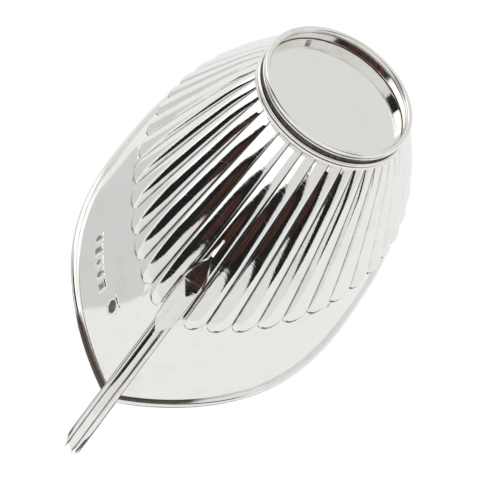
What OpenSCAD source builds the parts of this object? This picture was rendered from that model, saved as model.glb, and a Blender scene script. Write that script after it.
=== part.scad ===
// Silver sauce boat: a fluted, navette-shaped bowl on a low round foot, with a plain band and a
// wired rim above the flutes, and a reeded strap handle.
// Frame: +X towards the pouring lip, -X towards the handle, +Z up.
// The origin is on the foot's axis, on the surface that the foot stands on.

/* [Bowl] */
// Width of the mouth, across the sheet and without the rim wire
mouth_w = 81.6; // [76:0.2:86]
// Distance from the foot's axis to the point of the rim at the handle
handle_reach = 82.4; // [79:0.2:86]
// Distance from the foot's axis to the tip of the pouring lip
lip_reach = 81; // [76:1:88]
// Height of the rim halfway along each side, where it is lowest
side_h = 57; // [52:1:62]
// Rise of the rim from the side to the handle's point
handle_rise = 10; // [4:1:12]
// Rise of the rim from the side to the lip
lip_rise = 9; // [4:1:12]
// Thickness of the bowl's sheet
wall = 0.8; // [0.7:0.1:1.2]

/* [Flutes] */
// Number of flutes round the bowl
flutes = 40; // [32:4:48]
// Height at which the flutes end and the plain band begins
flute_top = 41; // [38:1:44]
// Width of the bowl at the top of the flutes
flute_w = 77; // [72:1:80]
// Distance from the foot's axis to the end of the flute under the handle
flute_reach = 71; // [68:1:74]
// How far a flute stands proud at its upper end
flute_depth = 1.9; // [1.2:0.1:2.4]

/* [Foot] */
// Diameter of the foot over its edge wire
foot_d = 46; // [42:1:50]
// Height of the foot, from the table to the flutes
foot_h = 6; // [5.5:0.5:6.5]
// Depth of the recess under the floor plate
recess = 4.4; // [4.3:0.1:4.6]

/* [Rim and handle] */
// Diameter of the rim wire
rim_wire_d = 2.1; // [1.6:0.1:2.6]
// Width of the handle strap
strap_w = 5.2; // [4.4:0.1:6]
// Thickness of the handle strap
strap_t = 1.9; // [1.6:0.1:2.4]
// Length of the pointed tongue at the foot of the handle
tongue_len = 30.5; // [28:0.5:33]
// How far the handle stands out from the point of the rim
handle_out = 18; // [14:0.5:20]
// How far the handle rises above the point of the rim
handle_up = 13; // [10:0.5:16]

/* [Hidden] */

// Foot levels and radii
foot_r = foot_d / 2;
edge_r = 0.85;
edge_h = 1.4;
collar_z = foot_h - 2.2;
foot_in_r = foot_r - 1.4;
bottom_r = foot_r - 1;
flute_foot_r = foot_r + 0.3;
bead_out = 0.4;
// Neck of the foot: thickness of its wall, and how far the groove round it undercuts the rings
neck_wall = 0.9;
groove_over = 0.3;

// Exponents of the plan curves: where the flutes end, and of the pointed rim at either end
flute_plan = [1.5, 0.54];
handle_bow = [3.28, 0.91];
lip_bow = [2.4, 0.94];
// Exponents of the profile: outward bulge of the flutes, flare of the band, rise of the rim
side_bulge = 1.05;
end_bulge = 1.35;
flare = 1.5;
sheer = 2.2;
// Flutes: spread towards the ends at the foot, in degrees, depth there, and length of the cap
flute_spread = 3.6;
flute_foot_depth = 0.8;
flute_cap = 0.1;
lip_flute_reach = flute_reach - 5;

// How far the rim wire's middle sits below the edge of the sheet
wire_drop = 0.4;

// Mesh steps
flute_steps = 4;
around = flutes * flute_steps;
outer_levels = [2, 1.85, 1.6, 1.3, 1, 0.98, 0.95, 0.9, 0.75, 0.6, 0.45, 0.3, 0.15, 0];
inner_levels = [0.12, 0.3, 0.5, 0.75, 1, 1.3, 1.6, 2];
wire_steps = 40;
wire_sides = 10;
strap_steps = 14;
// Shares of the tongue's length: end of its stem, full width, start of its ridge, and its sections
tongue_stem = 0.2;
tongue_full = 0.46;
tongue_ridge = 0.6;
tongue_stations = [0, 0.05, 0.1, 0.15, tongue_stem, 0.26, 0.32, 0.38, 0.44, tongue_full, tongue_ridge,
                   0.75, 0.9, 1];
// Half widths of the tongue at its lower end, at the top of its stem and at its upper point
stem_start = 0.35;
stem_half = 0.65;
point_half = 0.12;
// Height of the tongue over the flute at its lower end, and of its top and its tip over the strap
ridge_start = 0.6;
ridge_over = 1.9;
tip_over = 0.45;
// Drop from its ridge to its long edges, and how far its sides spread below them
eave_drop = 0.6;
flank = 0.6;
// How far the tongue sinks into the flute, and its upper part into the strap
tongue_sink = 0.5;
tongue_lap = 0.15;
$fn = 96;

function mix(a, b, k) = a + (b - a) * k;
function unit(v) = v / norm(v);

// How far plan angle t lies along the bowl: 0 halfway, 1 at the handle's end or the lip's
function along(t) = pow(max(0, 1 - pow(abs(sin(t)), flute_plan[0])), flute_plan[1]);
function to_lip(t) = cos(t) >= 0;

function foot_point(t, r) =
    let (a = t + flute_spread * sin(2 * t)) [r * cos(a), r * sin(a)];
function flute_point(t) =
    [(to_lip(t) ? lip_flute_reach : -flute_reach) * along(t), flute_w / 2 * sin(t)];
function rim_point(t) =
    let (k = along(t), bow = to_lip(t) ? lip_bow : handle_bow)
    [(to_lip(t) ? lip_reach : -handle_reach) * k,
     sign(sin(t)) * mouth_w / 2 * pow(max(0, 1 - pow(k, bow[0])), bow[1])];
function rim_z(t) = side_h + (to_lip(t) ? lip_rise : handle_rise) * pow(along(t), sheer);

// The bowl's surface without its flutes: level 0 to 1 up the flutes, 1 to 2 up the band
function shell(t, level) =
    level <= 1
    ? let (bulge = mix(side_bulge, end_bulge, along(t)),
           xy = mix(foot_point(t, flute_foot_r), flute_point(t), 1 - pow(1 - level, bulge)))
      [xy[0], xy[1], mix(foot_h, flute_top, level)]
    : let (xy = mix(flute_point(t), rim_point(t), pow(level - 1, flare)))
      [xy[0], xy[1], mix(flute_top, rim_z(t), level - 1)];

// Outward direction of that surface
function outward(t, level) =
    let (low = min(level, 1.98), d = 0.6,
         round_it = shell(t + d, low) - shell(t - d, low),
         up = shell(t, low + 0.02) - shell(t, max(0, low - 0.02)))
    unit(cross(round_it, up));

// How far the flutes stand proud of it: an arc across each flute, with a round upper end
function proud(t, level) =
    let (across = 2 * (t * flutes / 360 - round(t * flutes / 360)),
         end = max(0, level - 1 + flute_cap) / flute_cap)
    mix(flute_foot_depth, flute_depth, min(level, 1))
    * sqrt(max(0, 1 - across * across - end * end));

function outer_ring(level) =
    [for (i = [0 : around - 1]) let (t = 360 * i / around)
        shell(t, level) + proud(t, level) * outward(t, level)];
function inner_ring(level) =
    [for (i = [0 : around - 1]) let (t = 360 * i / around)
        shell(t, level) - wall * outward(t, level)];
function bottom_ring() =
    [for (i = [0 : around - 1]) let (p = foot_point(360 * i / around, bottom_r)) [p[0], p[1], foot_h]];

// A closed solid through rings of n points each; looped joins the last ring to the first
module loft(rings, looped = false) {
    n = len(rings[0]);
    m = len(rings);
    points = [for (ring = rings, p = ring) p];
    sides = [for (j = [0 : m - (looped ? 1 : 2)], i = [0 : n - 1])
        let (a = j * n + i, b = j * n + (i + 1) % n, k = (j + 1) % m * n)
        each [[a, b, k + (i + 1) % n], [a, k + (i + 1) % n, k + i]]];
    ends = looped ? [] : [[for (i = [n - 1 : -1 : 0]) i], [for (i = [0 : n - 1]) (m - 1) * n + i]];
    polyhedron(points, concat(sides, ends));
}

module bowl() {
    inside = concat([bottom_ring()], [for (level = inner_levels) inner_ring(level)]);
    outside = [for (level = outer_levels) outer_ring(level)];
    color("silver") loft(concat(inside, outside), true);
}

module floor_plate() {
    color("gainsboro") translate([0, 0, recess]) cylinder(r = foot_in_r, h = wall);
}

// One length of the rim wire, from the lip to the handle along the side of sign s
module rim_wire(s) {
    r = rim_wire_d / 2;
    rings = [for (i = [0 : wire_steps])
        let (t = 180 * i / wire_steps, p = shell(t, 2), mitred = i == 0 || i == wire_steps,
             n = outward(mitred ? t + (i == 0 ? 2 : -2) : t, 2), flat = unit([n[0], n[1], 0]),
             side = mitred ? [1 / flat[0], 0, 0] : flat)
        [for (j = [0 : wire_sides - 1]) let (a = 360 * j / wire_sides,
            q = p + side * (r * cos(a)) + [0, 0, r * sin(a) - wire_drop])
            [q[0], s * q[1], q[2]]]];
    loft(s > 0 ? rings : [for (i = [wire_steps : -1 : 0]) rings[i]]);
}

module rim_wire_left() {
    color("lightgray") rim_wire(1);
}

module rim_wire_right() {
    color("lightgray") rim_wire(-1);
}

// Ring between the flutes and the foot, with a bead outside; the floor plate is set into it
module foot_collar() {
    bead = (foot_h - collar_z) / 2;
    color("lightgray") rotate_extrude() {
        translate([foot_r + bead_out - bead, collar_z + bead]) circle(r = bead);
        translate([foot_in_r, collar_z]) square([flute_foot_r - foot_in_r, foot_h - collar_z]);
    }
}

// Short hollow neck of the foot
module foot_ring() {
    neck = collar_z - edge_h;
    color("silver") rotate_extrude() difference() {
        translate([foot_in_r, edge_h]) square([neck_wall, neck]);
        translate([foot_r + bead_out, edge_h + neck / 2]) circle(r = neck / 2 + groove_over);
    }
}

// Rounded wire round the bottom of the foot, worn flat where it stands
module foot_edge_wire() {
    color("lightgray") rotate_extrude() intersection() {
        translate([foot_r - edge_r, edge_h / 2]) circle(r = edge_r);
        translate([foot_r - 2 * edge_r, 0]) square([2 * edge_r, edge_h]);
    }
}

// Points on a cubic curve with the four control points c
function cubic(c, k) =
    pow(1 - k, 3) * c[0] + 3 * k * pow(1 - k, 2) * c[1] + 3 * k * k * (1 - k) * c[2] + pow(k, 3) * c[3];
function curve(c, from, steps) = [for (i = [from : steps]) cubic(c, i / steps)];

// The crest of the flute under the handle, in the plane of symmetry, and its two directions
function crest(level) =
    let (p = shell(180, level) + proud(180, level) * outward(180, level)) [p[0], p[2]];
crest_run = unit(crest(0.85) - crest(0.5));
crest_out = [-crest_run[1], crest_run[0]];

// Places along the handle
tongue_root = crest(0.5);
strap_root = crest(0.72) + crest_out * strap_t / 2;
rib_fall = 0.28;
knee = tongue_root + crest_run * tongue_len + crest_out * strap_t / 2;
rim_tip = [-handle_reach, side_h + handle_rise];
loop_side = rim_tip + [-handle_out, -1];
loop_top = rim_tip + [-handle_out * 0.42, handle_up];

// Middle line of the strap: up the flute, out past the rim, over the top and down to the rim
strap_path = concat(
    [for (k = [0 : 0.2 : 0.8]) mix(strap_root, knee, k)],
    curve([knee, knee + crest_run * 8, loop_side - [-1.2, 11], loop_side], 0, strap_steps),
    curve([loop_side, loop_side + [-0.6, 7], loop_top - [7, 0], loop_top], 1, strap_steps),
    curve([loop_top, loop_top + [5, 0], rim_tip + [1.2, 7], rim_tip + [0.4, -0.4]], 1, strap_steps));

function turn(path, i) =
    let (v = unit(path[min(i + 1, len(path) - 1)] - path[max(i - 1, 0)])) [-v[1], v[0]];

// Reeded face of the strap at a, from -1 to 1 across: a broad rib between two narrow ones
function rib(a, middle, half) = 0.5 - rib_fall * pow((a - middle) / half, 2);
function reed(a) = max(rib(a, -0.71, 0.29), rib(a, 0, 0.42), rib(a, 0.71, 0.29));

module handle_strap() {
    section = concat([for (a = [-1 : 0.125 : 1]) [a * strap_w / 2, strap_t * reed(a)]],
                     [[strap_w / 2, -strap_t / 2], [-strap_w / 2, -strap_t / 2]]);
    rings = [for (i = [0 : len(strap_path) - 1]) let (c = strap_path[i], n = turn(strap_path, i))
        [for (q = section) [c[0] + n[0] * q[1], q[0], c[1] + n[1] * q[1]]]];
    color("silver") loft(rings);
}

// Half width of the tongue: a narrow stem that widens to the strap, and a point at k = 1
function tongue_half(k) =
    k < tongue_stem ? mix(stem_start, stem_half, k / tongue_stem)
    : k < tongue_full
    ? mix(stem_half, strap_w / 2, sin(90 * (k - tongue_stem) / (tongue_full - tongue_stem)))
    : k < 1 ? strap_w / 2 : point_half;

// Height of the tongue: it rises over its stem, runs level, and falls towards its point
function tongue_height(k) =
    k < tongue_stem ? mix(ridge_start, strap_t + ridge_over, sin(90 * k / tongue_stem))
    : strap_t + mix(ridge_over, tip_over, max(0, k - tongue_ridge) / (1 - tongue_ridge));

// Pointed tongue that is soldered down the flute and over the foot of the strap
module handle_tongue() {
    rings = [for (k = tongue_stations)
        let (w = tongue_half(k),
             ridge = tongue_height(k),
             low = k < tongue_full ? -tongue_sink : strap_t - tongue_lap,
             eave = k < tongue_full ? ridge - tongue_lap : max(low + 0.2, ridge - eave_drop),
             base = w + flank * min(1, 2 * (1 - k)),
             p = tongue_root + crest_run * tongue_len * k)
        [for (q = [[base, low], [-base, low], [-w, eave], [0, ridge], [w, eave]])
            [p[0] + crest_out[0] * q[1], q[0], p[1] + crest_out[1] * q[1]]]];
    color("lightgray") loft(rings);
}

bowl();
floor_plate();
rim_wire_left();
rim_wire_right();
foot_collar();
foot_ring();
foot_edge_wire();
handle_strap();
handle_tongue();
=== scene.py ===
"""Silver sauce boat: a fluted, pointed bowl on a low round foot, with a wired rim and a reeded handle.

Lengths are in metres, in the frame of the packed part: +X towards the pouring lip, -X towards the
handle, +Z up, and the origin on the foot's axis, on the surface that the foot stands on.
"""
from math import cos, exp, hypot, pi, radians, sin, sqrt, tau

import bmesh
import bpy
from mathutils import Matrix, Vector


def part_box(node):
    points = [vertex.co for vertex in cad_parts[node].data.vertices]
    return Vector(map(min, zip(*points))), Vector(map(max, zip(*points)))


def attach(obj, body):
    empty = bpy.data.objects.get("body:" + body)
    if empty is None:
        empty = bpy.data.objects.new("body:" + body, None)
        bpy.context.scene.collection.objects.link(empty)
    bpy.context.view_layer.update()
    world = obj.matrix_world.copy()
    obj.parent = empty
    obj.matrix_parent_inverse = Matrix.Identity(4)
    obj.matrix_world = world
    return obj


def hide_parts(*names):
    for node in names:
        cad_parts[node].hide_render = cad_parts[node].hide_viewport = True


bl_info = {
    "name": "Silver sauce boat",
    "version": (1, 0, 0),
    "blender": (4, 5, 0),
    "location": "3D View > Sidebar > Sauce boat",
    "description": "Builds the pieces of a fluted silver sauce boat, and a stage to show it on",
    "category": "Add Mesh",
}

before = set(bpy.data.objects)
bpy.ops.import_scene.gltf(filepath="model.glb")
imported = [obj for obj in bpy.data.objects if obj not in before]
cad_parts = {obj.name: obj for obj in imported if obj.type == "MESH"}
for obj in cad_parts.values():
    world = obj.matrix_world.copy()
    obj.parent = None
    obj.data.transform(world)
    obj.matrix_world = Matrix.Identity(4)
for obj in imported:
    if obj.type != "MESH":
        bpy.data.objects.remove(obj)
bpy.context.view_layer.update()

MM = 0.001
BOWL, PLATE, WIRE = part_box("bowl"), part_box("floor_plate"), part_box("rim_wire_left")
RING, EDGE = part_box("foot_ring"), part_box("foot_edge_wire")
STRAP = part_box("handle_strap")
STRAP_THICKNESS = 1.9 * MM

SHARP = radians(38)  # edges that fold by more than this stay crisp
MERGE = 0.001 * MM


# ---------------------------------------------------------------- settings

def length(name, description, default):
    """A property that holds a length in metres."""
    return bpy.props.FloatProperty(name=name, description=description, default=default,
                                   precision=5, unit="LENGTH", subtype="DISTANCE")


def colour(name, description, default):
    """A property that holds a colour."""
    return bpy.props.FloatVectorProperty(name=name, description=description, default=default,
                                         size=3, min=0, max=1, subtype="COLOR")


def share(name, description, default):
    """A property that holds a plain number from 0 to 1."""
    return bpy.props.FloatProperty(name=name, description=description, default=default,
                                   min=0, max=1, subtype="FACTOR")


def angle(name, description, default):
    """A property that holds an angle."""
    return bpy.props.FloatProperty(name=name, description=description, default=default,
                                   unit="ROTATION", subtype="ANGLE")


class BowlSizes(bpy.types.PropertyGroup):
    """Sizes of the bowl"""
    mouth_width: length("Mouth width", "Width of the mouth without the rim wire", 2 * BOWL[1].y)
    handle_reach: length("Handle reach", "From the foot's axis to the rim's point at the handle",
                         -BOWL[0].x)
    lip_reach: length("Lip reach", "From the foot's axis to the tip of the lip", BOWL[1].x)
    tip_height: length("Tip height", "Height of the rim's point at the handle", BOWL[1].z)
    handle_rise: length("Handle rise", "Rise of the rim from the side to the handle", 10 * MM)
    lip_rise: length("Lip rise", "Rise of the rim from the side to the lip", 9 * MM)
    wall: length("Wall", "Thickness of the sheet", PLATE[1].z - PLATE[0].z)
    flutes: bpy.props.IntProperty(name="Flutes", description="Number of flutes round the bowl",
                                  default=40, min=12, max=80)
    flute_top: length("Flute top", "Height at which the flutes end", 41 * MM)
    flute_width: length("Flute width", "Width of the bowl at the top of the flutes", 77 * MM)
    flute_reach: length("Flute reach", "From the foot's axis to the end of the flute at the handle",
                        71 * MM)
    lip_flute_reach: length("Lip flute reach", "The same at the lip", 66 * MM)
    flute_depth: length("Flute depth", "How far a flute stands proud at its upper end", 1.9 * MM)
    foot_depth: length("Flute depth at the foot", "How far it stands proud at the foot", 0.8 * MM)


class FootSizes(bpy.types.PropertyGroup):
    """Sizes of the foot"""
    radius: length("Radius", "Radius over the edge wire", EDGE[1].x)
    edge: length("Edge", "Height of the edge wire", EDGE[1].z)
    neck: length("Neck", "Height at which the collar begins", RING[1].z)
    height: length("Height", "Height of the foot, from the table to the flutes",
                   RING[1].z + 2.2 * MM)
    inside_low: length("Inside at the edge", "Radius of the recess at the edge wire",
                       EDGE[1].x - 1.7 * MM)
    inside_high: length("Inside at the plate", "Radius of the recess at the floor plate",
                        EDGE[1].x - 1.1 * MM)


class HandleSizes(bpy.types.PropertyGroup):
    """Sizes of the handle"""
    strap_width: length("Strap width", "Width of the strap", STRAP[1].y - STRAP[0].y)
    strap_thickness: length("Strap thickness", "Thickness of the strap", STRAP_THICKNESS)
    tongue: length("Tongue", "Length of the pointed tongue", 30.5 * MM)
    out: length("Out", "How far the loop stands out from the rim's point",
                BOWL[0].x - STRAP[0].x - STRAP_THICKNESS / 2)
    up: length("Up", "How far the loop rises above the rim's point",
               STRAP[1].z - BOWL[1].z - STRAP_THICKNESS / 2)


class Finish(bpy.types.PropertyGroup):
    """Colours and wear of the silver"""
    silver: colour("Silver", "Clean polished silver", (0.93, 0.925, 0.905))
    warm: colour("Warm silver", "Silver that has begun to tarnish", (0.80, 0.755, 0.69))
    # This colour also paints shade: it darkens the flutes' creases, the foot of the band, the reeds'
    # grooves, the tongue's underside and the rim wires near the handle.
    tarnish: colour("Tarnish", "Old tarnish in the creases", (0.09, 0.068, 0.056))
    polish: share("Polish", "Roughness of the best polished silver", 0.055)


class StageSizes(bpy.types.PropertyGroup):
    """Camera and floor"""
    aim: bpy.props.FloatVectorProperty(name="Aim", description="Where the camera looks", size=3,
                                       default=(-15.1 * MM, 2.76 * MM, 55.5 * MM),
                                       subtype="TRANSLATION", unit="LENGTH")
    distance: length("Distance", "From the camera to what it looks at", 650 * MM)
    tilt: angle("Tilt", "How far below the level the camera stands", radians(44.77))
    roll: angle("Roll", "Turn of the camera about its own line of sight", radians(36.87))
    lens: bpy.props.FloatProperty(name="Lens", description="Focal length in millimetres",
                                  default=168.1)
    floor: colour("Floor", "Colour of the floor", (0.86, 0.86, 0.855))


# ---------------------------------------------------------------- the bowl's form

def blend(a, b, k):
    """The value or point that is k of the way from a to b."""
    return a + (b - a) * k


class Form:
    """The bowl's surface, by plan angle and level. The angle is 0 at the lip and pi at the handle.
    The level is 0 at the foot, 1 where the flutes end and 2 at the rim."""
    PLAN = (1.5, 0.54)
    HANDLE_BOW, LIP_BOW = (3.28, 0.91), (2.4, 0.94)
    SIDE_BULGE, END_BULGE = 1.05, 1.35
    FLARE, SHEER = 1.5, 2.2
    SPREAD = radians(3.6)
    CAP = 0.1
    TURN_STEP, LEVEL_STEP = radians(0.6), 0.02
    FLUTE_FOOT_OUT = 0.3 * MM

    def __init__(self, bowl, foot):
        self.bowl, self.foot = bowl, foot

    def along(self, turn):
        """How far a plan angle lies along the bowl: 0 halfway, 1 at either end."""
        return max(0.0, 1 - abs(sin(turn)) ** self.PLAN[0]) ** self.PLAN[1]

    def foot_point(self, turn, radius):
        spread = turn + self.SPREAD * sin(2 * turn)
        return Vector((radius * cos(spread), radius * sin(spread)))

    def flute_point(self, turn):
        reach = self.bowl.lip_flute_reach if cos(turn) >= 0 else -self.bowl.flute_reach
        return Vector((reach * self.along(turn), self.bowl.flute_width / 2 * sin(turn)))

    def rim_point(self, turn):
        k, to_lip = self.along(turn), cos(turn) >= 0
        power, ease = self.LIP_BOW if to_lip else self.HANDLE_BOW
        half = self.bowl.mouth_width / 2 * max(0.0, 1 - k ** power) ** ease
        return Vector(((self.bowl.lip_reach if to_lip else -self.bowl.handle_reach) * k,
                       half if sin(turn) >= 0 else -half))

    def rim_height(self, turn):
        side = self.bowl.tip_height - self.bowl.handle_rise
        rise = self.bowl.lip_rise if cos(turn) >= 0 else self.bowl.handle_rise
        return side + rise * self.along(turn) ** self.SHEER

    def shell(self, turn, level):
        """A point of the surface without its flutes."""
        if level <= 1:
            bulge = blend(self.SIDE_BULGE, self.END_BULGE, self.along(turn))
            low = self.foot_point(turn, self.foot.radius + self.FLUTE_FOOT_OUT)
            place = blend(low, self.flute_point(turn), 1 - (1 - level) ** bulge)
            return place.to_3d() + Vector((0, 0, blend(self.foot.height, self.bowl.flute_top, level)))
        place = blend(self.flute_point(turn), self.rim_point(turn), (level - 1) ** self.FLARE)
        height = blend(self.bowl.flute_top, self.rim_height(turn), level - 1)
        return place.to_3d() + Vector((0, 0, height))

    def outward(self, turn, level):
        """The direction in which the surface faces."""
        low = min(level, 2 - self.LEVEL_STEP)
        across = self.shell(turn + self.TURN_STEP, low) - self.shell(turn - self.TURN_STEP, low)
        up = self.shell(turn, low + self.LEVEL_STEP) - self.shell(turn, max(0, low - self.LEVEL_STEP))
        return across.cross(up).normalized()

    def depth(self, level):
        """How far the crest of a flute stands proud."""
        return blend(self.bowl.foot_depth, self.bowl.flute_depth, min(level, 1))

    def crest(self, level):
        """The crest of the flute under the handle."""
        return self.shell(pi, level) + self.depth(level) * self.outward(pi, level)


def boat_form(context):
    """The bowl's surface, at the sizes that the panel holds."""
    scene = context.scene
    return Form(scene.boat_bowl, scene.boat_foot)


# ---------------------------------------------------------------- mesh tools

def start_ring(bm, places):
    """A closed loop of vertices at the given places, from a circle."""
    loop = bmesh.ops.create_circle(bm, segments=len(places), radius=1)["verts"]
    for vertex, place in zip(loop, places):
        vertex.co = place
    return loop


def loop_edges(bm, loop):
    """The edges of a closed loop of vertices."""
    return [bm.edges.get((a, b)) for a, b in zip(loop, loop[1:] + loop[:1])]


def grow(bm, loop, places, recess=None):
    """Extrudes a closed loop of vertices, and sets the new loop at the given places."""
    made = bmesh.ops.extrude_edge_only(bm, edges=loop_edges(bm, loop))["geom"]
    fresh = {item for item in made if isinstance(item, bmesh.types.BMVert)}
    new = [next(e.other_vert(v) for e in v.link_edges if e.other_vert(v) in fresh) for v in loop]
    for vertex, place in zip(new, places):
        vertex.co = place
    if recess:
        layer = bm.verts.layers.float["recess"]
        for vertex, value in zip(new, recess):
            vertex[layer] = value
    return new


def new_mesh():
    """An empty mesh whose vertices can hold how much the silver darkens there: tarnish in some places,
    painted shade in others.
    """
    bm = bmesh.new()
    bm.verts.layers.float.new("recess")
    return bm


def sweep(bm, rings, recess):
    """A closed solid through rings of places, with flat ends. recess holds a list for each ring, and
    the first ring's isn't used."""
    loop = start_ring(bm, rings[0])
    first = loop_edges(bm, loop)
    for places, values in zip(rings[1:], recess[1:]):
        loop = grow(bm, loop, places, values)
    for edges in (first, loop_edges(bm, loop)):
        bmesh.ops.edgeloop_fill(bm, edges=edges)


def lathe(bm, profile, steps=256):
    """A closed ring: a closed profile of (radius, height, recess) turned about the Z axis."""
    layer = bm.verts.layers.float["recess"]
    loop = start_ring(bm, [(radius, 0, height) for radius, height, _ in profile])
    for vertex, point in zip(loop, profile):
        vertex[layer] = point[2]
    bmesh.ops.spin(bm, geom=loop + loop_edges(bm, loop), cent=(0, 0, 0), axis=(0, 0, 1), angle=tau,
                   steps=steps, use_merge=True)


def add_object(context, name, bm, material):
    """Makes the mesh an object with one material."""
    mesh = bpy.data.meshes.new(name)
    bm.to_mesh(mesh)
    bm.free()
    made = bpy.data.objects.new(name, mesh)
    context.scene.collection.objects.link(made)
    mesh.materials.append(material)
    return made


def add_piece(context, name, bm, material, node, sharp=SHARP):
    """Makes the mesh an object that stands for a CAD node: it hangs from the root body, and the node is
    hidden.
    """
    bmesh.ops.remove_doubles(bm, verts=bm.verts, dist=MERGE)
    bmesh.ops.recalc_face_normals(bm, faces=bm.faces)
    for face in bm.faces:
        face.smooth = True
    for edge in bm.edges:
        edge.smooth = len(edge.link_faces) == 2 and edge.calc_face_angle() < sharp
    piece = add_object(context, name, bm, material)
    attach(piece, "root")
    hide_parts(node)


# ---------------------------------------------------------------- materials

class Value:
    """A shader socket that Python's operators work on: each use adds a Math node."""

    def __init__(self, shader, socket):
        self.shader, self.socket = shader, socket

    def math(self, operation, *values):
        return self.shader.node("ShaderNodeMath", {"operation": operation}, dict(enumerate(values)))

    def __add__(self, other):
        return self.math("ADD", self, other)

    def __sub__(self, other):
        return self.math("SUBTRACT", self, other)

    def __rsub__(self, other):
        return self.math("SUBTRACT", other, self)

    def __mul__(self, other):
        return self.math("MULTIPLY", self, other)

    __radd__ = __add__
    __rmul__ = __mul__


class Shader:
    """A material whose nodes come from expressions."""

    def __init__(self, name):
        self.material = bpy.data.materials.new(name)
        self.material.use_nodes = True
        self.tree = self.material.node_tree
        self.tree.nodes.clear()

    def node(self, kind, settings=None, sockets=None, out=0):
        """A node of any type: its settings first, then the values or links of its sockets."""
        node = self.tree.nodes.new(kind)
        for key, setting in (settings or {}).items():
            setattr(node, key, setting)
        for key, value in (sockets or {}).items():
            usable = [s for s in node.inputs if s.enabled]
            socket = usable[key] if isinstance(key, int) else next(s for s in usable if s.name == key)
            if isinstance(value, Value):
                self.tree.links.new(value.socket, socket)
            else:
                socket.default_value = value
        if not node.outputs:
            return None
        usable = [s for s in node.outputs if s.enabled]
        return Value(self, usable[out] if isinstance(out, int) else node.outputs[out])

    def place(self):
        return self.node("ShaderNodeTexCoord", out="Object")

    def attribute(self, name):
        return self.node("ShaderNodeAttribute", {"attribute_name": name}, out="Fac")

    def noise(self, place, scale, detail=2.0, roughness=0.5):
        return self.node("ShaderNodeTexNoise", {}, {"Vector": place, "Scale": scale,
                                                    "Detail": detail, "Roughness": roughness})

    def ramp(self, value, low, high):
        """0 below low and 1 above high, with a soft step between."""
        return self.node("ShaderNodeMapRange", {"interpolation_type": "SMOOTHSTEP"},
                         {"Value": value, "From Min": low, "From Max": high})

    def tint(self, mask, first, second):
        """The first colour where mask is 0 and the second where it is 1."""
        first, second = (c if isinstance(c, Value) else (*c, 1) for c in (first, second))
        return self.node("ShaderNodeMix", {"data_type": "RGBA"},
                         {"Factor": mask, "A": first, "B": second})

    def scratches(self, place, turn, fine, low, high):
        """Thin straight marks that run across one direction."""
        lined = self.node("ShaderNodeMapping", {},
                          {"Vector": place, "Rotation": turn, "Scale": (fine, fine * 0.03, fine * 0.03)})
        return self.ramp(self.noise(lined, 1.0, 1.0), low, high)

    def finish(self, surface):
        self.node("ShaderNodeOutputMaterial", {}, {"Surface": surface})
        return self.material


def silver(name, finish, worn):
    """Polished silver. worn is what wear gives for this piece. It darkens towards the tarnish colour where
    the vertex value is high: real tarnish in places, painted shade in others.
    """
    m = Shader(name)
    place = m.place()
    recess = m.attribute("recess")
    slow = m.noise(place, 42.0, 1.0)
    smudge = m.noise(place, 130.0, 3.0, 0.6)
    patch = m.noise(place, 520.0, 3.0, 0.65)
    grain = m.noise(place, 2600.0, 2.0)
    swirl = m.scratches(place, (0.3, 0.5, 0.9), 2400.0, 0.60, 0.74)
    cross = m.scratches(place, (1.1, 0.2, 2.1), 3000.0, 0.62, 0.76)
    marks = swirl + cross
    # Tarnish colour where the vertex value is high: real tarnish in places, and painted shade in the
    # flutes' creases, at the foot of the band, in the reeds' grooves, under the tongue and on the rim wires
    # near the handle.
    old = m.ramp(recess + patch * 0.35, 0.62, 1.15) * worn["tarnish"]
    warmth = m.ramp(smudge + recess * 0.25, 0.48, 0.86) * worn["warm"]
    body = m.tint(warmth, finish.silver, finish.warm)
    body = m.tint(old, body, finish.tarnish)
    rough = (finish.polish * worn["rough"] + m.ramp(smudge, 0.45, 0.8) * 0.05 * worn["haze"]
             + marks * 0.05 * worn["haze"] + old * 0.32)
    height = slow * worn["waver"] + patch * 0.012 + grain * 0.0012 - marks * 0.0016 - old * 0.01
    normal = m.node("ShaderNodeBump", {}, {"Strength": 1.0, "Distance": MM, "Height": height})
    surface = m.node("ShaderNodeBsdfPrincipled", {},
                     {"Base Color": body, "Metallic": 1.0, "Roughness": rough, "Normal": normal})
    return m.finish(surface)


def wear(rough=1.0, waver=0.5, warm=0.5, tarnish=0.8, haze=1.0):
    """Shares of roughness, unevenness, warm colour, tarnish and painted shade, and smudges and scratches.
    """
    return {"rough": rough, "waver": waver, "warm": warm, "tarnish": tarnish, "haze": haze}


# ---------------------------------------------------------------- struck marks

ROW_TURN, ROW_STEP, ROW_LEVEL = 222.2, 3.5, 1.63  # plan angles in degrees, and the level
ROW_HALF, ROW_RELIEF = 1.45 * MM, 0.05 * MM
ROUND_TURN, ROUND_LEVEL = 200.4, 1.545
ROUND_HALF, ROUND_RELIEF = 2.2 * MM, 0.16 * MM
MARK_STEPS = 26
MARK_SUNK, MARK_PROUD, MARK_PLATE = 0.05 * MM, 0.01 * MM, 0.25 * MM


def shield(x, y):
    """Below 0 inside a shield, above 0 outside."""
    return max(abs(x) - 0.8, abs(y) - 0.95, hypot(x, min(0, y + 0.1)) - 0.85)


def lozenge(x, y):
    return abs(x) * 0.75 + abs(y) * 0.65 - 0.62


def oval(x, y):
    return hypot(x / 0.75, y) - 0.92


def block(x, y):
    return max(abs(x), abs(y)) - 0.82


def rosette(x, y):
    return hypot(x, y) - 0.9


def pellets(count, ring, size):
    """A device of round pellets on a ring, round one at the middle."""
    spots = [(0.0, 0.0)] + [(ring * cos(tau * i / count), ring * sin(tau * i / count))
                            for i in range(count)]
    return lambda x, y: max(0.0, 1 - min(hypot(x - a, y - b) for a, b in spots) / size)


def bars(count):
    """A device of upright bars."""
    return lambda x, y: max(0.0, sin(pi * (x + 0.6) * count / 1.2)) if max(abs(x), abs(y)) < 0.6 else 0


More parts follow.
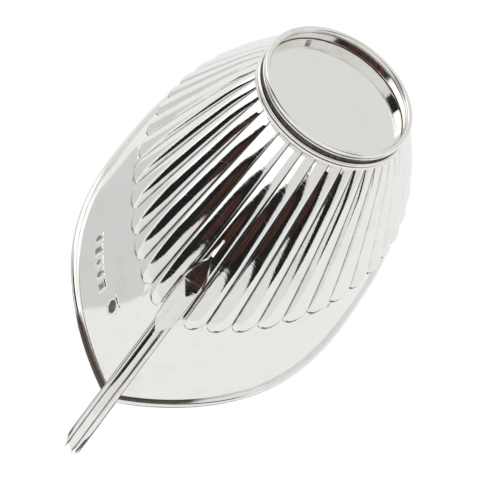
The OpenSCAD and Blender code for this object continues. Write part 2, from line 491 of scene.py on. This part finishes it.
def strike(bm, form, turn, level, half, outline, device, height):
    """Adds one small struck mark: a thin plate that follows the band, with a raised edge and device."""
    spin = (form.shell(turn + 0.01, level) - form.shell(turn - 0.01, level)).length / 0.02
    climb = (form.shell(turn, level + 0.01) - form.shell(turn, level - 0.01)).length / 0.02
    made = bmesh.ops.create_grid(bm, x_segments=MARK_STEPS, y_segments=MARK_STEPS, size=1)["verts"]
    faces = list({face for vertex in made for face in vertex.link_faces})
    layer = bm.verts.layers.float["recess"]
    for vertex in made:
        x, y = vertex.co.x, vertex.co.y
        gap = outline(x, y)
        edge = exp(-(gap / 0.12) ** 2)
        inside = gap < 0
        rise = height * (edge * 0.8 + (device(x, y) if inside else 0))
        sunk = MARK_SUNK if gap > 0.1 else 0
        a, b = turn + x * half / spin, level + y * half / climb
        vertex.co = form.shell(a, b) + form.outward(a, b) * (rise - sunk + MARK_PROUD)
        vertex[layer] = (0.7 + height / MM * 1.5) * inside * (1 - edge)
    bmesh.ops.recalc_face_normals(bm, faces=faces)
    bmesh.ops.solidify(bm, geom=faces, thickness=MARK_PLATE)


def strike_marks(bm, form):
    """A row of five small marks and one round one, on the band beside the handle."""
    row = [(oval, pellets(1, 0, 0.4)), (shield, bars(2)), (lozenge, pellets(4, 0.35, 0.2)),
           (oval, bars(1)), (block, pellets(4, 0.45, 0.25))]
    for i, (outline, device) in enumerate(row):
        strike(bm, form, radians(ROW_TURN - ROW_STEP * i), ROW_LEVEL, ROW_HALF, outline, device,
               ROW_RELIEF)
    strike(bm, form, radians(ROUND_TURN), ROUND_LEVEL, ROUND_HALF, rosette, pellets(6, 0.55, 0.3),
           ROUND_RELIEF)


# ---------------------------------------------------------------- operators

class SAUCEBOAT_OT_bowl(bpy.types.Operator):
    """Raise the fluted bowl, with its plain band and its struck marks"""
    bl_idname = "sauceboat.bowl"
    bl_label = "Bowl"

    PER_FLUTE = 12
    FLUTE_ROWS, CAP_ROWS, BAND_ROWS = 24, 7, 16
    FOOT_END, FOOT_SHARE = 0.2, 0.25  # the level where a flute is full, and its share at the foot
    # The inner face: how deep and how soft its flutes are, the level where they are full, and where it ends
    INNER_SHARE, INNER_EASE, INNER_FULL, INNER_LOW = 0.9, 0.6, 0.3, 0.1
    CREASE_POWER = 6
    BAND_AGE, BAND_FADE, INNER_AGE = 0.55, 30, 0.3  # painted shade at the foot of the band, how fast it fades upward, and the darkening on the inner face
    BOTTOM_GAP = 1 * MM

    def spot(self, form, across, row):
        """Level and rise of a point of the outer face, at a place across its flute."""
        zone, k = row
        root = sqrt(max(0, 1 - across * across))
        cap = 1 - form.CAP
        if zone == "flute":
            level = cap * k
            ease = sin(pi / 2 * min(1, level / self.FOOT_END))
            end = self.FOOT_SHARE + (1 - self.FOOT_SHARE) * ease
            return level, form.depth(level) * root * end
        if zone == "cap":
            level = cap + form.CAP * root * sin(k * pi / 2)
            return level, form.depth(level) * root * cos(k * pi / 2)
        start = cap + form.CAP * root
        return blend(start, 2, k), 0.0

    def execute(self, context):
        form, bowl, foot = boat_form(context), context.scene.boat_bowl, context.scene.boat_foot
        columns = []
        for i in range(bowl.flutes * self.PER_FLUTE):
            across = sin(pi * (i % self.PER_FLUTE) / self.PER_FLUTE - pi / 2)
            columns.append((tau / bowl.flutes * (i // self.PER_FLUTE + across / 2), across))
        rows = [("flute", k / self.FLUTE_ROWS) for k in range(self.FLUTE_ROWS)]
        rows += [("cap", k / self.CAP_ROWS) for k in range(self.CAP_ROWS + 1)]
        rows += [("band", (k + 1) / self.BAND_ROWS) for k in range(self.BAND_ROWS)]

        def ring(row, inner):
            """Places of one row round the bowl, on its outer or inner face, and how much each darkens."""
            places, recess = [], []
            for turn, across in columns:
                level, rise = self.spot(form, across, row)
                if inner:
                    soft = (rise / bowl.flute_depth) ** self.INNER_EASE
                    begun = min(1, level / self.INNER_FULL)
                    rise = self.INNER_SHARE * rise * soft * begun - bowl.wall
                places.append(form.shell(turn, level) + form.outward(turn, level) * rise)
                # Painted shade: the creases between the flutes darken in the tarnish colour.
                crease = abs(across) ** self.CREASE_POWER
                if row[0] == "band":
                    crease = self.BAND_AGE * exp(-row[1] * self.BAND_FADE)
                recess.append(self.INNER_AGE if inner else crease)
            return places, recess

        bm = new_mesh()
        radius = foot.radius - self.BOTTOM_GAP
        first = [form.foot_point(turn, radius).to_3d() + Vector((0, 0, foot.height))
                 for turn, _ in columns]
        loop = start_ring(bm, first)
        for row in rows:
            loop = grow(bm, loop, *ring(row, False))
        for row in reversed(rows):
            if row[0] != "flute" or row[1] * (1 - form.CAP) > self.INNER_LOW:
                loop = grow(bm, loop, *ring(row, True))
        grow(bm, loop, first)
        bmesh.ops.remove_doubles(bm, verts=bm.verts, dist=MERGE)
        strike_marks(bm, form)
        material = silver("bowl_silver", context.scene.boat_finish, wear(waver=0.35, tarnish=0.9))
        add_piece(context, "fluted_bowl", bm, material, "bowl")
        return {"FINISHED"}


class SAUCEBOAT_OT_rim_wires(bpy.types.Operator):
    """Run the two rim wires from the lip to the handle"""
    bl_idname = "sauceboat.rim_wires"
    bl_label = "Rim wires"

    STEPS, SIDES = 220, 18
    MITRE = radians(2)
    DROP = 0.4 * MM
    OLD_SPOTS = {-1: radians(-35), 1: radians(-130)}  # where the painted dark reflection sits round each wire, in the tarnish colour
    OLD_FROM, OLD_OVER, OLD_DEPTH = 0.82, 0.06, 1.35  # where it begins, over how much it grows, and how dark it is

    def rings(self, form, radius, side):
        """Sections of one wire, and how much painted shade darkens each of their points near the handle."""
        rings, recess = [], []
        for i in range(self.STEPS + 1):
            turn = pi * i / self.STEPS
            last = i in (0, self.STEPS)
            look = turn + (self.MITRE if i == 0 else -self.MITRE) if last else turn
            flat = form.outward(look, 2)
            flat.z = 0
            flat.normalize()
            out = Vector((1 / flat.x, 0, 0)) if last else flat
            centre = form.shell(turn, 2) - Vector((0, 0, self.DROP))
            ring = []
            for j in range(self.SIDES):
                a = tau * j / self.SIDES
                place = centre + out * (radius * cos(a)) + Vector((0, 0, radius * sin(a)))
                ring.append(Vector((place.x, side * place.y, place.z)))
            rings.append(ring)
            near = min(1, max(0, turn / pi - self.OLD_FROM) / self.OLD_OVER)
            old = self.OLD_SPOTS[side]
            recess.append([self.OLD_DEPTH * near * sqrt(max(0, cos(tau * j / self.SIDES - old)))
                           for j in range(self.SIDES)])
        return rings, recess

    def execute(self, context):
        form = boat_form(context)
        material = silver("rim_silver", context.scene.boat_finish, wear(waver=0.1, tarnish=0.95))
        for name, side in (("left", 1), ("right", -1)):
            bm = new_mesh()
            sweep(bm, *self.rings(form, WIRE[1].y - BOWL[1].y, side))
            add_piece(context, f"rim_wire_{name}_round", bm, material,
                      f"rim_wire_{name}")
        return {"FINISHED"}


class SAUCEBOAT_OT_foot(bpy.types.Operator):
    """Turn the collar, the neck and the edge wire of the foot, and set in the floor plate"""
    bl_idname = "sauceboat.foot"
    bl_label = "Foot"

    BEAD, BEAD_OUT = 0.5 * MM, 0.4 * MM
    COVE, COVE_AT = 0.78 * MM, 0.68
    WIRE, FLAT = 0.85 * MM, 35  # radius of the edge wire, and half the angle of each flat in degrees
    PLATE_LAP = 0.05 * MM
    PLATE_ROWS = (0.0, 0.01, 0.02, 0.05, 0.12, 0.3, 0.5, 0.7, 0.85, 1.0)
    LINE_UNDER, LINE_OVER = 0.03, 0.04  # share of the plate's radius that its dark line takes

    def bead(self, radius, height, size, start, end, steps=10, recess=0.0):
        """Points on a round bead from one angle to another, in degrees."""
        return [(radius + size * cos(radians(blend(start, end, k / steps))),
                 height + size * sin(radians(blend(start, end, k / steps))), recess)
                for k in range(steps + 1)]

    def inside(self, foot):
        """How fast the recess widens on its way up, and its radius at the neck."""
        slope = (foot.inside_high - foot.inside_low) / (PLATE[0].z - foot.edge)
        return slope, foot.inside_low + slope * (foot.neck - foot.edge)

    def collar(self, foot):
        """A bead, a dark groove, a square moulding up to the flutes, and the seat of the plate."""
        r, neck, top, high = foot.radius, foot.neck, foot.height, foot.inside_high
        slope, middle = self.inside(foot)
        seat = PLATE[0].z
        return ([(middle, neck, 0.5), (r - 0.35 * MM, neck, 0.9)]
                + self.bead(r + self.BEAD_OUT - self.BEAD, neck + 0.05 * MM + self.BEAD, self.BEAD, -75, 70)
                + [(r + 0.02 * MM, neck + 1.12 * MM, 1.0), (r + 0.04 * MM, neck + 1.4 * MM, 0.95),
                   (r + 0.14 * MM, neck + 1.48 * MM, 0.2), (r + 0.24 * MM, blend(neck, top, 0.82), 0.05),
                   (r + 0.4 * MM, top - 0.08 * MM, 0.25), (r + 0.36 * MM, top, 1.0),
                   (high, top, 0.8), (high, seat + 0.12 * MM, 1.0),
                   (high, seat - 0.2 * MM, 0.95), (high - slope * 0.4 * MM, seat - 0.4 * MM, 0.45)])

    def neck(self, foot):
        """A small bead over the edge wire, then a cove up to the collar."""
        r, edge, neck, low = foot.radius, foot.edge, foot.neck, foot.inside_low
        middle = self.inside(foot)[1]
        return ([(low, edge, 0.5), (r - 0.9 * MM, edge, 0.9), (r - 0.75 * MM, edge + 0.12 * MM, 1.0),
                 (r - 0.62 * MM, edge + 0.28 * MM, 0.6)]
                + self.bead(r - 0.4 * MM, edge + 0.55 * MM, 0.28 * MM, -85, 75, 8, 0.15)
                + self.bead(r - 0.12 * MM, blend(edge, neck, self.COVE_AT), self.COVE, 228, 132, 12, 0.92)
                + [(r - 0.6 * MM, neck, 0.9), (middle, neck, 0.5),
                   (blend(low, middle, 0.5), blend(edge, neck, 0.5), 0.35)])

    def edge_wire(self, foot):
        """A round wire, flat where it stands and where the neck sits on it."""
        centre, height = foot.radius - self.WIRE, foot.edge / 2
        return (self.bead(centre, height, self.WIRE, self.FLAT - 90, 90 - self.FLAT, 12)
                + self.bead(centre, height, self.WIRE, 90 + self.FLAT, 270 - self.FLAT, 12, 0.15))

    def plate(self, foot):
        """A disc that reaches the axis, darker along its rim."""
        radius = foot.inside_high + self.PLATE_LAP
        return ([(radius * (1 - k), PLATE[0].z, 0.9 * (1 - min(1, k / self.LINE_UNDER)))
                 for k in self.PLATE_ROWS]
                + [(radius * (1 - k), PLATE[1].z, 0.8 * (1 - min(1, k / self.LINE_OVER)))
                   for k in reversed(self.PLATE_ROWS)])

    def execute(self, context):
        foot, finish = context.scene.boat_foot, context.scene.boat_finish
        turned = silver("foot_silver", finish, wear(waver=0.06, warm=0.8, tarnish=1.0, haze=0.8))
        for name, node, profile in (("foot_collar_turned", "foot_collar", self.collar(foot)),
                                    ("foot_ring_turned", "foot_ring", self.neck(foot)),
                                    ("foot_edge_turned", "foot_edge_wire", self.edge_wire(foot))):
            bm = new_mesh()
            lathe(bm, profile)
            add_piece(context, name, bm, turned, node)
        bm = new_mesh()
        lathe(bm, self.plate(foot))
        bmesh.ops.remove_doubles(bm, verts=bm.verts, dist=MERGE)
        axis = [line for line in bm.edges if not line.link_faces]
        bmesh.ops.delete(bm, geom=axis, context="EDGES")
        planished = silver("plate_silver", finish, wear(rough=1.6, waver=0.05, warm=0.15, haze=0.8))
        add_piece(context, "floor_plate_planished", bm, planished, "floor_plate")
        return {"FINISHED"}


class Handle:
    """Places along the handle, in the plane of symmetry."""
    ROOT, STRAP_ROOT, RUN_END = 0.5, 0.72, 0.85  # levels on the flute under the handle
    STRAIGHT = 6

    def __init__(self, context):
        form, size = boat_form(context), context.scene.boat_handle
        bowl = context.scene.boat_bowl
        self.size = size
        self.run = (form.crest(self.RUN_END) - form.crest(self.ROOT)).normalized()
        self.out = Vector((-self.run.z, 0, self.run.x))
        half = self.out * size.strap_thickness / 2
        self.root = form.crest(self.ROOT)
        self.strap_root = form.crest(self.STRAP_ROOT) + half
        self.knee = self.root + self.run * size.tongue + half
        self.tip = Vector((-bowl.handle_reach, 0, bowl.tip_height))

    def path(self, steps):
        """Middle line of the strap: up the flute, out past the rim, over the top and down to the rim."""
        def at(x, z):
            """A step in the plane of symmetry, in millimetres."""
            return Vector((x * MM, 0, z * MM))

        def cubic(a, b, c, d):
            """Points after a on the curve from a to d that b and c pull."""
            return [(1 - k) ** 3 * a + 3 * k * (1 - k) ** 2 * b + 3 * k * k * (1 - k) * c + k ** 3 * d
                    for k in [(i + 1) / steps for i in range(steps)]]

        side = self.tip - Vector((self.size.out, 0, 1 * MM))
        top = self.tip + Vector((-self.size.out * 0.42, 0, self.size.up))
        points = [blend(self.strap_root, self.knee, k / self.STRAIGHT) for k in range(self.STRAIGHT + 1)]
        points += cubic(self.knee, self.knee + self.run * 8 * MM, side - at(-1.2, 11), side)
        points += cubic(side, side + at(-0.6, 7), top - at(7, 0), top)
        points += cubic(top, top + at(5, 0), self.tip + at(1.2, 7), self.tip + at(0.4, -0.4))
        return points


class SAUCEBOAT_OT_handle_strap(bpy.types.Operator):
    """Draw the reeded strap and bend it into the handle's loop"""
    bl_idname = "sauceboat.handle_strap"
    bl_label = "Handle strap"

    ACROSS, STEPS = 48, 26
    # Each pair down to WIDEN is a value at the tongue, and then at the loop. Known fault: the loop's
    # SHOULDER drops the edge of the outer face below the soft corner of the back, so they cross there.
    CROWN, SHOULDER = (0.15 * MM, 0.6 * MM), (0.15 * MM, 1.1 * MM)
    RIB_FALL = (0.24, 0.13)
    WIDEN = (0.965, 1.045)
    CHANGE = 1.6  # the change is over after 1 / CHANGE of the rings
    RIBS = ((-0.74, 0.25), (-0.04, 0.46), (0.7, 0.29))  # middle and half width of each
    SOFT = 0.2 * MM
    # Painted shade: the grooves between the reeds, and less so the plain back, darken in the tarnish
    # colour.
    GROOVE_AGE, GROOVE_POWER, BACK_AGE = 1.4, 1.6, 0.3
    ASIDE = -0.35 * MM

    def section(self, size, k):
        """Outline of the strap: three reeds on the outer face, and a plain back with soft edges."""
        points, recess = [], []
        for i in range(self.ACROSS + 1):
            a = -cos(pi * i / self.ACROSS)
            fall = min(((a - middle) / half) ** 2 for middle, half in self.RIBS)
            reed = 0.5 - blend(*self.RIB_FALL, k) * fall
            drop = blend(*self.CROWN, k) * a ** 2 + blend(*self.SHOULDER, k) * a ** 4
            points.append((a * size.strap_width / 2, size.strap_thickness * reed - drop))
            recess.append(self.GROOVE_AGE * min(1, fall) ** self.GROOVE_POWER)
        w, low, soft = size.strap_width / 2, -size.strap_thickness / 2, self.SOFT
        points += [(w, low + soft), (w - 0.3 * soft, low + 0.3 * soft), (w - soft, low),
                   (soft - w, low), (0.3 * soft - w, low + 0.3 * soft), (-w, low + soft)]
        return points, recess + [self.BACK_AGE] * (len(points) - len(recess))

    def execute(self, context):
        handle = Handle(context)
        path = handle.path(self.STEPS)
        rings, recess = [], []
        for i, centre in enumerate(path):
            run = (path[min(i + 1, len(path) - 1)] - path[max(i - 1, 0)]).normalized()
            out = Vector((-run.z, 0, run.x))
            k = min(1, i / len(path) * self.CHANGE)
            wide = blend(*self.WIDEN, k)
            section, values = self.section(handle.size, k)
            recess.append(values)
            rings.append([centre + out * q + Vector((0, p * wide + self.ASIDE, 0))
                          for p, q in section])
        bm = new_mesh()
        sweep(bm, rings, recess)
        material = silver("strap_silver", context.scene.boat_finish, wear(waver=0.1, warm=0.8))
        add_piece(context, "handle_strap_reeded", bm, material, "handle_strap")
        return {"FINISHED"}


class SAUCEBOAT_OT_handle_tongue(bpy.types.Operator):
    """File the pointed tongue and solder it over the foot of the strap"""
    bl_idname = "sauceboat.handle_tongue"
    bl_label = "Handle tongue"

    STEM, FULL, RIDGE, SHOULDER = 0.2, 0.47, 0.6, 0.875  # shares of the tongue's length
    STEM_START, STEM_HALF, POINT_HALF = 0.3 * MM, 0.4 * MM, 0.12 * MM
    FLANK = 0.7 * MM
    STEP, SINK, LAP = 0.45, 0.5 * MM, 0.15 * MM  # where the underside steps up over the strap
    EAVE = 0.2 * MM
    TOP, TIP = 1.9 * MM, 0.45 * MM
    RISE, SIDE_FALL = 0.07, 0.25
    RIDGE_ASIDE, ASIDE = 0.75 * MM, -0.5 * MM
    CRISP, CREASE, BEVEL = radians(9), radians(14), 0.07 * MM
    WELD = 0.02 * MM
    AGE = (0.95, 0.95, 0.3, 0, 0, 0, 0.3)  # painted shade at each point of a section: darkest along the underside, less at the eaves, none on top
    DROPS = ((0.0, 0.5 * MM), (1.0, 0.55 * MM))  # place along the tongue and radius of each drop of solder
    DROP_SHAPE, DROP_RAISE = (1.3, 0.9, 0.6), 0.1 * MM
    STEPS = 60

    def half(self, handle, k):
        """Half width of the top: a narrow stem, a curve out to the strap's width, and a point."""
        full = handle.size.strap_width / 2
        if k < self.STEM:
            return blend(self.STEM_START, self.STEM_HALF, k / self.STEM)
        if k < self.FULL:
            ease = (k - self.STEM) / (self.FULL - self.STEM)
            return blend(self.STEM_HALF, full, sin(pi / 2 * ease))
        return blend(full, self.POINT_HALF, max(0, k - self.SHOULDER) / (1 - self.SHOULDER))

    def ring(self, handle, k):
        """Section of the tongue at k of its length."""
        thick = handle.size.strap_thickness
        top, tip = thick + self.TOP, thick + self.TIP
        width = self.half(handle, k)
        ridge = top + (tip - top) * (k - self.RIDGE) / (1 - self.RIDGE)
        level = top - self.RISE * handle.size.tongue * (self.RIDGE - k)
        height = min(level * sin(pi / 2 * min(1, 0.15 + 0.85 * k / self.STEM)), ridge)
        low = -self.SINK if k < self.STEP else thick - self.LAP
        foot = width + self.FLANK * min(1, (1 - k) / 0.5) * min(1, 0.3 + k / self.STEM)
        crest = self.RIDGE_ASIDE * 2 * width / handle.size.strap_width
        flat = max(0, ridge - height) / self.SIDE_FALL
        eaves = [max(low + self.EAVE, min(height, ridge - self.SIDE_FALL * abs(side * width - crest)))
                 for side in (-1, 1)]
        outline = [(foot, low), (-foot, low), (-width, eaves[0]),
                   (max(-0.97 * width, crest - flat), height), (crest, height),
                   (min(0.97 * width, crest + flat), height), (width, eaves[1])]
        centre = handle.root + handle.run * (handle.size.tongue * k)
        return [centre + handle.out * q + Vector((0, p + self.ASIDE, 0)) for p, q in outline]

    def execute(self, context):
        handle = Handle(context)
        stops = sorted({i / self.STEPS for i in range(self.STEPS + 1)}
                       | {self.STEP - 0.001, self.STEP + 0.001, self.FULL, self.RIDGE, self.SHOULDER})
        bm = new_mesh()
        sweep(bm, [self.ring(handle, k) for k in stops], [self.AGE] * len(stops))
        bmesh.ops.remove_doubles(bm, verts=bm.verts, dist=self.WELD)
        creases = [e for e in bm.edges if len(e.link_faces) == 2 and e.calc_face_angle() > self.CREASE]
        bmesh.ops.bevel(bm, geom=creases, offset=self.BEVEL, segments=2, profile=0.5,
                        affect="EDGES", material=-1, clamp_overlap=True)
        for along, size in self.DROPS:
            spot = handle.root + handle.run * (handle.size.tongue * along)
            spot.y += self.ASIDE
            if along:
                spot = spot + handle.out * (handle.size.strap_thickness + self.DROP_RAISE)
            blob = bmesh.ops.create_icosphere(bm, subdivisions=3, radius=size)["verts"]
            flat = Matrix.Diagonal(self.DROP_SHAPE).to_4x4()
            axes = Matrix((handle.run, Vector((0, 1, 0)), handle.out)).transposed().to_4x4()
            bmesh.ops.transform(bm, matrix=Matrix.Translation(spot) @ axes @ flat, verts=blob)
        material = silver("tongue_silver", context.scene.boat_finish, wear(waver=0.12, warm=0.6))
        add_piece(context, "handle_tongue_filed", bm, material, "handle_tongue",
                  self.CRISP)
        return {"FINISHED"}


class SAUCEBOAT_OT_stage(bpy.types.Operator):
    """Lay the pale floor, hang the soft lights and place the camera"""
    bl_idname = "sauceboat.stage"
    bl_label = "Stage"

    LOW = -1.0
    ROOM_LIGHT, ROOM_SEEN = 0.87, 1.0  # strength of the white room in reflections, and to the camera

    def floor(self, context, stage):
        """A pale floor that shows from above and not from below."""
        m = Shader("pale_floor")
        place = m.place()
        mottle = m.noise(place, 6.0, 4.0)
        dark = [c * 0.97 for c in stage.floor]
        body = m.tint(mottle, stage.floor, dark)
        pale = m.node("ShaderNodeBsdfDiffuse", {}, {"Color": body})
        clear = m.node("ShaderNodeBsdfTransparent")
        under = m.node("ShaderNodeNewGeometry", out="Backfacing")
        material = m.finish(m.node("ShaderNodeMixShader", {}, {0: under, 1: pale, 2: clear}))
        bm = bmesh.new()
        bmesh.ops.create_grid(bm, x_segments=8, y_segments=8, size=3)
        floor = add_object(context, "floor", bm, material)
        floor.visible_glossy = floor.visible_diffuse = floor.visible_shadow = False

    def board(self, context, name, corners, shade, streaks=None):
        """A flat board that only reflections see, between four corners."""
        m = Shader(name)
        tone = (shade, shade, shade)
        if streaks:
            place = m.place()
            lined = m.node("ShaderNodeMapping", {}, {"Vector": place, "Scale": (3.0, 9.0, 1.0)})
            grain = m.ramp(m.noise(lined, 2.0, 4.0, 0.7), 0.50, 0.60)
            tone = m.tint(grain, tone, streaks)
        sockets = {"Color": tone if isinstance(tone, Value) else (*tone, 1), "Strength": 1.0}
        material = m.finish(m.node("ShaderNodeEmission", {}, sockets))
        bm = bmesh.new()
        bm.faces.new([bm.verts.new(corner) for corner in corners])
        board = add_object(context, name, bm, material)
        board.visible_camera = board.visible_diffuse = board.visible_shadow = False

    def low_board(self, context, name, outline, shade, streaks=None, depth=LOW):
        """A board that lies level, well below the boat."""
        self.board(context, name, [(x, y, depth) for x, y in outline], shade, streaks)

    def lamp(self, context, name, place, size, power):
        """A round soft lamp that faces the boat."""
        lamp = bpy.data.lights.new(name, "AREA")
        lamp.shape, lamp.size, lamp.energy = "DISK", size, power
        holder = bpy.data.objects.new(name, lamp)
        context.scene.collection.objects.link(holder)
        aim = Vector(context.scene.boat_stage.aim)
        turn = (Vector(place) - aim).to_track_quat("Z", "Y").to_matrix().to_4x4()
        holder.matrix_world = Matrix.Translation(place) @ turn
        holder.visible_camera = False

    def camera(self, context, stage):
        """A camera below the level of the floor that looks up at the boat."""
        sight = Vector((cos(stage.tilt), 0, sin(stage.tilt)))
        side, rise = Vector((0, 1, 0)), Vector((sin(stage.tilt), 0, -cos(stage.tilt)))
        right = side * cos(stage.roll) + rise * sin(stage.roll)
        up = rise * cos(stage.roll) - side * sin(stage.roll)
        lens = bpy.data.cameras.new("camera")
        lens.lens, lens.sensor_width = stage.lens, 36.0
        lens.clip_start, lens.clip_end = 0.01, 100
        camera = bpy.data.objects.new("camera", lens)
        context.scene.collection.objects.link(camera)
        axes = Matrix((right, up, -sight)).transposed().to_4x4()
        camera.matrix_world = Matrix.Translation(Vector(stage.aim) - sight * stage.distance) @ axes
        context.scene.camera = camera

    def room(self, context):
        """A white room all round, for light and background."""
        world = bpy.data.worlds.new("white_room")
        world.use_nodes = True
        tree = world.node_tree
        background = tree.nodes["Background"]
        background.inputs["Color"].default_value = (1, 1, 1, 1)
        seen = tree.nodes.new("ShaderNodeLightPath")
        level = tree.nodes.new("ShaderNodeMapRange")
        level.inputs["To Min"].default_value = self.ROOM_LIGHT
        level.inputs["To Max"].default_value = self.ROOM_SEEN
        tree.links.new(seen.outputs["Is Camera Ray"], level.inputs["Value"])
        tree.links.new(level.outputs["Result"], background.inputs["Strength"])
        context.scene.world = world

    def execute(self, context):
        stage = context.scene.boat_stage
        self.floor(context, stage)
        self.low_board(context, "dark_board",
                       [(-0.60, 2.5), (-0.62, 0), (-0.70, -0.6), (-1.0, -1.0), (-1.3, -2.0), (-2.0, -6.0),
                        (0.2, -6.0), (-0.08, -2.5), (-0.24, -0.5), (-0.22, 0), (-0.25, 2.5)], 0.012)
        self.low_board(context, "far_board", [(-4, -4), (-0.5, -4), (-0.5, 4), (-4, 4)], 0.80,
                       (0.70, 0.70, 0.69), self.LOW - 0.01)
        self.low_board(context, "brown_board", [(-0.56, -0.7), (-0.34, -0.7), (-0.34, 0.4), (-0.56, 0.4)],
                       0.012, (0.17, 0.060, 0.036), self.LOW + 0.01)
        self.low_board(context, "bright_board", [(0.2, -6.0), (3.0, -6.0), (0.55, 0), (-0.22, 0),
                                                 (-0.24, -0.5), (-0.08, -2.5)], 1.25)
        self.low_board(context, "dim_board", [(0.55, 0), (1.8, -2.5), (1.8, 2.5), (-0.25, 2.5),
                                              (-0.22, 0)], 0.75)
        self.board(context, "grey_board", [(-0.466, -1, 1.2), (-0.466, -1, -0.05), (0.2, -1, 0.03),
                                           (1.2, -1, 1.2)], 0.66)
        for side in (-1, 1):
            self.board(context, "upper_board", [(-0.53, side, 0.88), (-0.53, side, 2.8),
                                                (0.84, side, 3.2), (0.84, side, 1.02)], 0.12)
        self.lamp(context, "top_light", (0.2, -0.3, 1.6), 1.4, 5)
        self.room(context)
        context.scene.view_settings.view_transform = "Standard"
        self.camera(context, stage)
        return {"FINISHED"}


class SAUCEBOAT_PT_panel(bpy.types.Panel):
    """Lists what the sauce boat is built from"""
    bl_label = "Sauce boat"
    bl_idname = "SAUCEBOAT_PT_panel"
    bl_space_type = "VIEW_3D"
    bl_region_type = "UI"
    bl_category = "Sauce boat"

    def draw(self, context):
        for group in GROUPS:
            settings = getattr(context.scene, group)
            box = self.layout.box()
            box.label(text=type(settings).__doc__)
            for name in settings.__annotations__:
                box.prop(settings, name)
        for step in STEPS:
            self.layout.operator(step.bl_idname)


GROUPS = {"boat_bowl": BowlSizes, "boat_foot": FootSizes, "boat_handle": HandleSizes,
          "boat_finish": Finish, "boat_stage": StageSizes}
STEPS = (SAUCEBOAT_OT_bowl, SAUCEBOAT_OT_rim_wires, SAUCEBOAT_OT_foot, SAUCEBOAT_OT_handle_strap,
         SAUCEBOAT_OT_handle_tongue, SAUCEBOAT_OT_stage)


def register():
    for kind in (*GROUPS.values(), *STEPS, SAUCEBOAT_PT_panel):
        bpy.utils.register_class(kind)
    for name, kind in GROUPS.items():
        setattr(bpy.types.Scene, name, bpy.props.PointerProperty(type=kind))


def unregister():
    for name in GROUPS:
        delattr(bpy.types.Scene, name)
    for kind in (SAUCEBOAT_PT_panel, *reversed(STEPS), *reversed(GROUPS.values())):
        bpy.utils.unregister_class(kind)


def main():
    register()
    bpy.ops.sauceboat.bowl()
    bpy.ops.sauceboat.rim_wires()
    bpy.ops.sauceboat.foot()
    bpy.ops.sauceboat.handle_strap()
    bpy.ops.sauceboat.handle_tongue()
    bpy.ops.sauceboat.stage()


if __name__ == "__main__":
    main()
